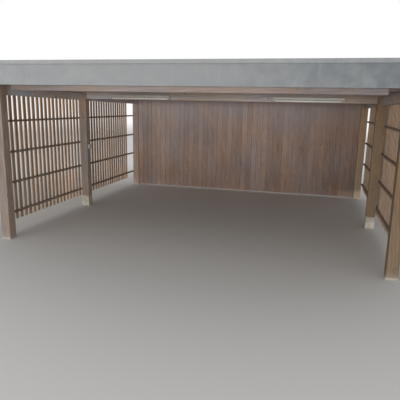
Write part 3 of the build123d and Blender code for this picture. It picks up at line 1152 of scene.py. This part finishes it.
@dataclass
class Screens(Assembly):
    """The slatted sides: upright slats nailed to the outer side of level rails."""

    slat_width: float = 0.065
    slat_thickness: float = 0.020
    slat_foot: float = 0.210
    slat_head: float = 0.130
    slat_count: int = 44
    slat_bow: float = 0.005
    slat_bend: float = 0.55
    inset: float = 0.085
    first_slat: float = 0.1075
    last_on_left: float = 2.2375
    rail_thickness: float = 0.045
    rail_height: float = 0.032
    top_rail: float = 0.080
    easing: float = 0.0015
    rail_easing: float = 0.002
    lengths: int = 9
    nail_stray: float = 0.006
    screw_from_end: float = 0.03

    def build(self) -> None:
        """Builds both sides."""
        for side in Side:
            nodes = [f"{side.word}_{bay}_screen" for bay in ("front", "back")]
            low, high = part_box(nodes[0])
            inner = low.x if side is Side.RIGHT else high.x
            face = inner + side.value * self.rail_thickness
            slats = self.slats(side, face)
            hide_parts(*nodes)
            self.rails(side, sorted((inner, face)))
            self.rail_screws(side, face)

    def slats(self, side: Side, face: float) -> Piece:
        """Models the slats of one side.

        Args:
            side: The side.
            face: The x of the rails' outer face.

        Returns:
            The slats.
        """
        outer = face + side.value * self.slat_thickness
        slats = []
        nails = []
        for middle in self.slat_middles(side):
            slats.append(self.one_slat(sorted((face, outer)), middle))
            nails += self.nails_of(side, outer, middle)
        whole = warped(merged(f"{side.word}_slats", slats), self.slat_bow, self.slat_bend, ("Y",))
        self.fixings.set_in(f"{side.word}_slat_nails", self.fixings.nail.model(), nails, "slat_wood")
        return kept(whole, self.finishes.timber(SLAT, Grain.UPRIGHT))

    def slat_middles(self, side: Side) -> list[float]:
        """Where the slats of one side stand. On the left they stop short of the back corner.

        Args:
            side: The side.

        Returns:
            The y of each slat's middle.
        """
        first = ROOF.front + self.first_slat
        pitch = -2 * first / (self.slat_count - 1)
        middles = [first + number * pitch for number in range(self.slat_count)]
        last = self.last_on_left if side is Side.LEFT else -first
        return [middle for middle in middles if middle <= last + TINY]

    def one_slat(self, faces: Sequence[float], middle: float) -> Piece:
        """Models one slat, cut into short lengths so that it can bow.

        Args:
            faces: The x of its two faces.
            middle: The y of its middle.

        Returns:
            The slat.
        """
        low = (faces[0], middle - self.slat_width / 2, self.slat_foot)
        high = (faces[1], middle + self.slat_width / 2, ROOF.height_at(middle, self.slat_head))
        slat = bevelled(cuboid("slat", low, high), runs_along(2), self.easing)
        edit(slat, bpy.ops.mesh.subdivide, edges=runs_along(2), number_cuts=self.lengths - 1)
        mark_tone(slat, random.uniform(-1.0, 1.0))
        return slat

    def rail_heights(self, depth: float) -> list[float]:
        """The heights of the rails' middles at a depth, the last on the falling rail."""
        return [*RAIL_HEIGHTS, ROOF.height_at(depth, self.top_rail)]

    def nails_of(self, side: Side, outer: float, depth: float) -> list[Seat]:
        """Places a nail where a slat crosses each rail.

        Args:
            side: The side of the carport.
            outer: The x of the slat's outer face.
            depth: The y of the slat's middle.

        Returns:
            A seat and the way it faces for each nail.
        """
        seats = []
        for height in self.rail_heights(depth):
            stray = [random.uniform(-self.nail_stray, self.nail_stray) for _ in range(2)]
            seats.append((Vector((outer, depth, height)) + Vector((0.0, *stray)), side.out))
        return seats

    def rails(self, side: Side, faces: Sequence[float]) -> None:
        """Models the rails of one side, of which the top one follows the roof.

        Args:
            side: The side.
            faces: The x of their two faces.
        """
        reach = -ROOF.front - self.inset
        spans = [(height, -reach, reach) for height in RAIL_HEIGHTS]
        spans.append((self.top_rail, self.inset, -2 * ROOF.front - self.inset))
        rails = []
        for height, start, end in spans:
            low = (faces[0], start, height - self.rail_height / 2)
            high = (faces[1], end, height + self.rail_height / 2)
            rails.append(bevelled(cuboid("rail", low, high), runs_along(1), self.rail_easing))
        rails[-1].data.transform(ROOF.matrix)
        whole = merged(f"{side.word}_rails", rails)
        kept(whole, self.finishes.timber(RAIL, Grain.ALONG))

    def rail_screws(self, side: Side, face: float) -> None:
        """Screws the rails to the posts where no slat is in the way.

        Args:
            side: The side.
            face: The x of the rails' outer face.
        """
        low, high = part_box(f"middle_{side.word}_post")
        post = (low.y + high.y) / 2
        middles = self.slat_middles(side)
        gaps = [(a + b) / 2 for a, b in zip(middles, middles[1:])]
        depths = [min(gaps, key=lambda gap: abs(gap - post))]
        if side is Side.LEFT:
            depths.append(-ROOF.front - self.inset - self.screw_from_end)
        seats = [
            (Vector((face, depth, height)), side.out)
            for depth in depths
            for height in self.rail_heights(depth)
        ]
        self.fixings.set_screws(f"{side.word}_rail_screws", seats, "slat_wood")


# Boarded wall and roof


@dataclass(frozen=True)
class Rebate:
    """How boards lap half and half: the lap, the open joint on the face and its chamfer."""

    lap: float
    joint: float
    easing: float

    def board(self, name: str, pitch: float, thickness: float, length: float) -> Piece:
        """Models an upright board with a rebate on both edges.

        Args:
            name: The board's name.
            pitch: How far apart the boards are.
            thickness: The board's thickness, from its face at y 0 backward.
            length: Its length.

        Returns:
            The board, with its front left foot at the origin.
        """
        half = thickness / 2
        right = pitch - self.joint
        board = cuboid(name, (self.lap, 0.0, 0.0), (right, thickness, length))
        edit(board, bpy.ops.mesh.bisect, plane_co=(0.0, half, 0.0), plane_no=(0.0, 1.0, 0.0))

        def left_front(face: bmesh.types.BMFace) -> bool:
            """Whether the face is the front half of the left edge."""
            return face.normal.x < -STRAIGHT and face.calc_center_median().y < half

        def right_back(face: bmesh.types.BMFace) -> bool:
            """Whether the face is the back half of the right edge."""
            return face.normal.x > STRAIGHT and face.calc_center_median().y > half

        def on_arris(edge: bmesh.types.BMEdge) -> bool:
            """Chooses the long edges of the face.

            Args:
                edge: An edge of the board.

            Returns:
                Whether it is one of them.
            """
            places = [corner.co for corner in edge.verts]
            on_face = all(abs(place.y) < TINY for place in places)
            outer = all(min(abs(place.x), abs(place.x - right)) < TINY for place in places)
            return on_face and outer and runs_along(2)(edge)

        for chosen, move in ((left_front, -self.lap), (right_back, self.lap - self.joint)):
            shift = {"value": (move, 0.0, 0.0)}
            edit(board, bpy.ops.mesh.extrude_region_move, faces=chosen, TRANSFORM_OT_translate=shift)
        return bevelled(board, on_arris, self.easing)


@dataclass
class BackWall(Assembly):
    """Upright boards, rebated into each other, nailed to the rails behind."""

    board_count: int = 44
    rebate: Rebate = Rebate(0.008, 0.003, 0.003)
    deepest: float = 0.0012
    nail_inset: float = 0.022
    nail_stray: float = 0.005

    def build(self) -> None:
        """Builds the boards and their nails."""
        low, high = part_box("back_wall")
        pitch = (high.x - low.x) / self.board_count
        master = self.rebate.board("board", pitch, high.y - low.y, high.z - low.z)
        places = []
        nails = []
        for number in range(self.board_count):
            left = low.x + number * pitch
            sink = random.uniform(0.0, self.deepest)
            places.append(Matrix.Translation((left, low.y + sink, low.z)))
            for height in RAIL_HEIGHTS:
                for across in (self.nail_inset, pitch - self.nail_inset):
                    stray = random.uniform(-self.nail_stray, self.nail_stray)
                    nails.append((Vector((left + across, low.y, height + stray)), FRONTWARD))
        places[-1] = places[-1] @ Matrix.Diagonal(((pitch - self.rebate.lap) / pitch, 1.0, 1.0, 1.0))
        boards = joined("wall_boards", master, places, lambda: random.uniform(-1.0, 1.0))
        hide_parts("back_wall")
        kept(boards, self.finishes.timber(WALL_BOARD, Grain.UPRIGHT))
        self.fixings.set_in("wall_nails", self.fixings.nail.model(), nails, "board_wood")


@dataclass
class Roof(Assembly):
    """The roof boards, the covering with its laps, and the metal edge."""

    half_width: float = 3.1
    depth: float = 5.4
    overhang: float = 0.1
    rim: float = 0.0465
    board_count: int = 44
    rebate: Rebate = Rebate(0.008, 0.001, 0.004)
    board_thickness: float = 0.018
    boards_foot: float = 0.320
    covering: float = 0.002
    lap_pitch: float = 1.0
    lap_width: float = 0.09
    lap_height: float = 0.004
    lap_easing: float = 0.0016
    lap_cuts: int = 40
    lap_bow: float = 0.012
    lap_bend: float = 0.8
    coping_wall: float = 0.0015
    screw_pitch: float = 0.6
    screw_inset: float = 0.12
    coping_screw_height: float = 0.446
    fascia_foot: float = 0.133
    fascia_screw_inset: float = 0.016

    def build(self) -> None:
        """Builds the roof from the inside out."""
        self.boards()
        self.laps()
        self.edge_screws()
        looks = self.finishes
        dress(["roof_covering"], looks.plain(COVERING))
        edges = ("front", "back", "left", "right")
        dress([f"{edge}_fascia" for edge in edges], looks.plain(SHEET))
        dress([f"{edge}_coping" for edge in edges], looks.plain(CAP))

    @property
    def run(self) -> float:
        """The roof's length down the fall, over the posts."""
        return self.depth / math.cos(ROOF.angle)

    def boards(self) -> None:
        """Builds the boards on the joists, face down."""
        reach = self.half_width - self.rim
        front = -self.overhang + self.rim
        back = self.run + self.overhang - self.rim
        pitch = (2 * reach - self.rebate.lap) / self.board_count
        master = self.rebate.board("roof_board", pitch, self.board_thickness, back - front)
        lying = Matrix.Rotation(math.pi, 4, "Z") @ Matrix.Rotation(math.pi / 2, 4, "X")
        places = []
        for number in range(self.board_count):
            start = Matrix.Translation((reach - number * pitch, front, self.boards_foot))
            places.append(ROOF.matrix @ start @ lying)
        whole = joined("roof_boards", cleaned(master), places, lambda: random.uniform(-1.0, 1.0))
        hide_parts("roof_deck")
        kept(whole, self.finishes.timber(ROOF_BOARD, Grain.ALONG))

    def laps(self) -> None:
        """Lays the lapped edges of the covering's sheets, across the fall."""
        reach = self.half_width - self.rim - self.covering
        top = self.boards_foot + self.board_thickness + self.covering
        laps = []
        for lane in evenly_spaced(-self.overhang, self.run + self.overhang, self.lap_pitch)[1:-1]:
            low = (-reach, lane - self.lap_width / 2, top)
            high = (reach, lane + self.lap_width / 2, top + self.lap_height)
            lap = bevelled(cuboid("lap", low, high), runs_along(0), self.lap_easing)
            laps.append(edit(lap, bpy.ops.mesh.subdivide, edges=runs_along(0), number_cuts=self.lap_cuts))
        whole = warped(merged("covering_laps", laps), self.lap_bow, self.lap_bend, ("Y",))
        whole.data.transform(ROOF.matrix)
        kept(whole, self.finishes.plain(COVERING))

    def edge_screws(self) -> None:
        """Screws the coping's inner leg and the fascia's return to the rim."""
        leg = self.rim + self.covering + self.coping_wall
        inner = []
        under = []
        for place, half_run, out in self.edges():
            reach = half_run - self.screw_inset
            for along in evenly_spaced(-reach, reach, self.screw_pitch):
                spot = place + Vector((-out.y, out.x, 0.0)) * along
                inner.append(ROOF.seated(spot - out * leg + UP * self.coping_screw_height, -out))
                under.append(ROOF.seated(spot - out * self.fascia_screw_inset + UP * self.fascia_foot, -UP))
        self.fixings.set_screws("coping_screws", inner, "fascia_metal")
        self.fixings.set_screws("fascia_screws", under, "fascia_metal")

    def edges(self) -> list[tuple[Vector, float, Vector]]:
        """Finds the four edges of the roof.

        Returns:
            The middle of each in the roof's frame, half its length and the way outward.
        """
        middle = Vector((0.0, self.run / 2, 0.0))
        half_run = self.run / 2 + self.overhang
        found = []
        for side in Side:
            down = Vector((0.0, side.value, 0.0))
            found.append((side.out * self.half_width + middle, half_run, side.out))
            found.append((down * half_run + middle, self.half_width, down))
        return found


# Lights and switch


@dataclass
class Electrics(Assembly):
    """The two batten lights, their conduit, its box and the switch."""

    body_depth: float = 0.056
    body_screw_reach: float = 0.40
    body_screw_rise: float = 0.012
    lamp_cap: Head = Head(0.0137, 0.016, 24, 0.0007)
    corner: float = 0.006
    lid: float = 0.007
    lid_step: float = 0.0012
    lid_easing: float = 0.0016
    well_depth: float = 0.002
    screw_corner: float = 0.021
    clips: int = 4
    clip_wall: float = 0.002
    clip_screw_rise: float = 0.021
    rocker: float = 0.040
    rocker_gap: float = 0.0012
    rocker_corner: float = 0.002
    rocker_easing: float = 0.001
    rocker_foot: float = 0.004
    rocker_rise: float = 0.0012
    rocker_stand_out: float = 0.003
    rocker_tilt: float = math.radians(3.5)
    switch_screw_inset: float = 0.011

    def build(self) -> None:
        """Dresses the lights and the conduit, and models what has small parts."""
        looks = self.finishes
        dress([f"{side.word}_light_body" for side in Side], looks.plain(ENAMEL))
        dress([f"{side.word}_light_tube" for side in Side], looks.plain(OPAL))
        dress(["conduit"], looks.plain(PLASTIC))
        self.lamp_caps()
        self.body_screws()
        self.clip_screws()
        self.box_on_beam()
        self.switch_on_post()

    def lamp_caps(self) -> None:
        """Puts the metal caps on both ends of each lamp."""
        seats = []
        for side in Side:
            low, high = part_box(f"{side.word}_light_tube")
            middle = (low + high) / 2
            for end, inward in ((low.x, Side.RIGHT.out), (high.x, Side.LEFT.out)):
                seats.append((Vector((end, middle.y, middle.z)), inward))
        self.fixings.set_in("lamp_caps", self.lamp_cap.model(), seats, "light_metal")

    def body_screws(self) -> None:
        """Screws each light's cover to its body."""
        seats = []
        for side in Side:
            middle = ROOF.middle_of(f"{side.word}_light_body")
            for way in (-self.body_screw_reach, self.body_screw_reach):
                offset = Vector((way, -self.body_depth / 2, self.body_screw_rise))
                seats.append(ROOF.seated(middle + offset, FRONTWARD))
        self.fixings.set_screws("light_screws", seats, "light_metal")

    def clip_screws(self) -> None:
        """Screws the conduit's clips to the middle beam."""
        low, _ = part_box("conduit")
        box_low, box_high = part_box("junction_box")
        middle = ROOF.middle_of("junction_box")
        clip_face = middle.y + (box_high.y - box_low.y) / 2 - self.clip_wall
        seats = []
        for number in range(self.clips):
            across = low.x + (number + 0.5) / self.clips * (box_low.x - low.x)
            place = Vector((across, clip_face, middle.z + self.clip_screw_rise))
            seats.append(ROOF.seated(place, FRONTWARD))
        self.fixings.set_screws("clip_screws", seats, "conduit")

    def cased(self, name: str, size: Vector, well: float = 0.0) -> Piece:
        """Models a moulded case with a stepped lid, which faces up.

        Args:
            name: Its name.
            size: Its width, its length and how far it stands out.
            well: The side of a square well in the lid's face, or 0 for none.

        Returns:
            The case, centred on the origin.
        """
        half = size / 2
        seam = half.z - self.lid
        x, y = half.x - self.lid_step, half.y - self.lid_step
        base = cuboid(name, -half, (half.x, half.y, seam))
        bevelled(base, runs_along(2), self.corner, 3)
        lid = cuboid("lid", (-x, -y, seam), (x, y, half.z))
        bevelled(lid, runs_along(2), self.corner - self.lid_step, 3)
        bevelled(lid, wholly_above(half.z), self.lid_easing, 2)
        if well:
            low = (-well / 2, -well / 2, half.z - self.well_depth)
            carve(lid, cuboid("well", low, (well / 2, well / 2, half.z + self.lid)))
        return merged(name, [base, lid])

    def box_on_beam(self) -> None:
        """Models the small box in the conduit's run, with its lid and screws."""
        low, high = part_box("junction_box")
        width = high.x - low.x
        middle = ROOF.middle_of("junction_box")
        stand_out = high.y - low.y - width * math.sin(ROOF.angle)
        case = self.cased("conduit_box", Vector((width, width, stand_out)))
        upright = Matrix.Rotation(math.pi / 2, 4, "X")
        case.data.transform(ROOF.matrix @ Matrix.Translation(middle) @ upright)
        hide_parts("junction_box")
        kept(case, self.finishes.plain(PLASTIC))
        corners = (-self.screw_corner, self.screw_corner)
        seats = [
            ROOF.seated(middle + Vector((across, -stand_out / 2, up)), FRONTWARD)
            for across in corners
            for up in corners
        ]
        self.fixings.set_screws("conduit_box_screws", seats, "conduit")

    def switch_on_post(self) -> None:
        """Models the switch with its rocker and screws on the left middle post."""
        low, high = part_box("switch_box")
        length = high.z - low.z
        stand_out = high.x - low.x - self.rocker_stand_out
        size = Vector((length, high.y - low.y, stand_out))
        case = self.cased("switch_case", size, self.rocker + 2 * self.rocker_gap)
        half = self.rocker / 2
        face = stand_out / 2
        foot, top = face - self.rocker_foot, face + self.rocker_rise
        rocker = cuboid("rocker", (-half, -half, foot), (half, half, top))
        bevelled(rocker, runs_along(2), self.rocker_corner, 2)
        bevelled(rocker, wholly_above(face), self.rocker_easing, 2)
        rocker.data.transform(Matrix.Rotation(self.rocker_tilt, 4, "Y"))
        switch = merged("light_switch", [case, rocker])
        middle = Vector((low.x + face, (low.y + high.y) / 2, (low.z + high.z) / 2))
        switch.data.transform(Matrix.Translation(middle) @ Matrix.Rotation(math.pi / 2, 4, "Y"))
        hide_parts("switch_box")
        kept(switch, self.finishes.plain(SWITCH))
        reach = length / 2 - self.switch_screw_inset
        seats = []
        for rise in (-reach, reach):
            seats.append((Vector((low.x + stand_out, middle.y, middle.z + rise)), Side.RIGHT.out))
        self.fixings.set_screws("switch_screws", seats, "switch")


# Studio


@dataclass(frozen=True)
class Softbox:
    """A large soft lamp that itself stays out of the picture."""

    name: str
    place: Point
    target: Point
    size: tuple[float, float]
    watts: float

    def hang(self) -> None:
        """Adds the lamp and points it at its target."""
        data = bpy.data.lights.new(self.name, "AREA")
        data.shape = "RECTANGLE"
        data.size, data.size_y = self.size
        data.energy = self.watts
        lamp = bpy.data.objects.new(self.name, data)
        bpy.context.scene.collection.objects.link(lamp)
        lamp.location = self.place
        aim = Vector(self.target) - Vector(self.place)
        lamp.rotation_euler = aim.to_track_quat("-Z", "Y").to_euler()
        lamp.visible_camera = False


@dataclass
class Studio:
    """The plain pale floor, the soft light and the camera."""

    eye: Point = (1.755, -8.40, 2.11)
    yaw: float = math.radians(-14.285)
    pitch: float = math.radians(12.075)
    roll: float = math.radians(-1.161)
    focal_pixels: float = 442.46
    picture: int = 400
    sensor: float = 36.0
    farthest_seen: float = 500.0
    floor_reach: float = 60.0
    floor_color: Color = (0.74, 0.73, 0.71)
    floor_roughness: float = 0.9
    fade: tuple[float, float] = (8.0, 50.0)
    near_fade: tuple[float, float, float, float] = (3.2, 8.5, 0.0, 0.36)
    white: Color = (1.0, 1.0, 1.0)
    sky: float = 0.42
    softboxes: tuple[Softbox, ...] = (
        Softbox("left_softbox", (-4.4, -8.0, 3.0), (-1.6, -2.8, 2.0), (4.0, 3.0), 40.0),
        Softbox("far_left_softbox", (-38.0, -42.0, 2.4), (2.0, 0.0, 1.2), (26.0, 4.6), 3800.0),
        Softbox("low_softbox", (9.0, -55.0, 2.4), (0.0, 2.6, 1.2), (38.0, 4.8), 14000.0),
    )

    def build(self) -> None:
        """Sets up the camera, the floor and the light."""
        self.place_camera()
        self.lay_floor()
        self.light()

    def place_camera(self) -> None:
        """Puts the camera where the carport is seen from."""
        level = Vector((math.cos(self.yaw), -math.sin(self.yaw), 0.0))
        ahead = Vector((math.sin(self.yaw), math.cos(self.yaw), 0.0)) * math.cos(self.pitch)
        ahead -= UP * math.sin(self.pitch)
        down = ahead.cross(level)
        right = math.cos(self.roll) * level + math.sin(self.roll) * down
        foot = -math.sin(self.roll) * level + math.cos(self.roll) * down
        lens = bpy.data.cameras.new("camera")
        lens.sensor_width = self.sensor
        lens.lens = self.focal_pixels * self.sensor / self.picture
        lens.clip_end = self.farthest_seen
        camera = bpy.data.objects.new("camera", lens)
        bpy.context.scene.collection.objects.link(camera)
        turn = Matrix((right, -foot, -ahead)).transposed().to_4x4()
        camera.matrix_world = Matrix.Translation(self.eye) @ turn
        bpy.context.scene.camera = camera

    def lay_floor(self) -> None:
        """Lays the pale floor that the carport stands on, and lets it fade out far away."""
        floor = added("floor", bpy.ops.mesh.primitive_plane_add, size=2 * self.floor_reach)
        pale = bpy.data.materials.new("floor")
        pale.use_nodes = True
        tree = Tree(pale.node_tree)
        nodes = pale.node_tree.nodes
        shader = nodes["Principled BSDF"]
        tree.feed(shader.inputs["Base Color"], self.floor_color)
        tree.feed(shader.inputs["Roughness"], self.floor_roughness)
        place = tree.add("TexCoord").outputs["Object"]
        away = tree.add("VectorMath", {0: place}, operation="LENGTH").outputs["Value"]
        far = tree.math("MAXIMUM", tree.ramp(away, *self.fade), tree.ramp(away, *self.near_fade))
        path = tree.add("LightPath").outputs
        seen = tree.math("MAXIMUM", path["Is Camera Ray"], path["Is Glossy Ray"])
        seen = tree.math("MAXIMUM", seen, path["Is Transmission Ray"])
        white = tree.add("Emission", {"Color": self.white, "Strength": 1.0})
        shaders = {0: tree.times(far, seen), 1: shader.outputs[0], 2: white.outputs[0]}
        tree.feed(nodes["Material Output"].inputs["Surface"], tree.add("MixShader", shaders).outputs[0])
        floor.data.materials.append(pale)

    def light(self) -> None:
        """Lights the carport softly from all round, and deep into its open front."""
        world = bpy.data.worlds.new("studio")
        bpy.context.scene.world = world
        world.use_nodes = True
        tree = Tree(world.node_tree)
        back = world.node_tree.nodes["Background"]
        path = tree.add("LightPath").outputs
        seen = tree.math("MAXIMUM", path["Is Camera Ray"], path["Is Transmission Ray"])
        tree.feed(back.inputs["Color"], self.white)
        tree.feed(back.inputs["Strength"], tree.ramp(seen, 0.0, 1.0, self.sky, 1.0))
        for softbox in self.softboxes:
            softbox.hang()


def main() -> None:
    """Builds every sub-assembly round the fixed frame."""
    logging.basicConfig(level=logging.INFO, format="%(message)s")
    random.seed(SEED)
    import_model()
    bpy.context.scene.view_settings.view_transform = "Standard"
    Studio().build()
    finishes = Finishes()
    fixings = Fixings(finishes)
    for kind in (TimberFrame, FootBlocks, Screens, BackWall, Roof, Electrics):
        kind(finishes, fixings).build()


if __name__ == "__main__":
    main()
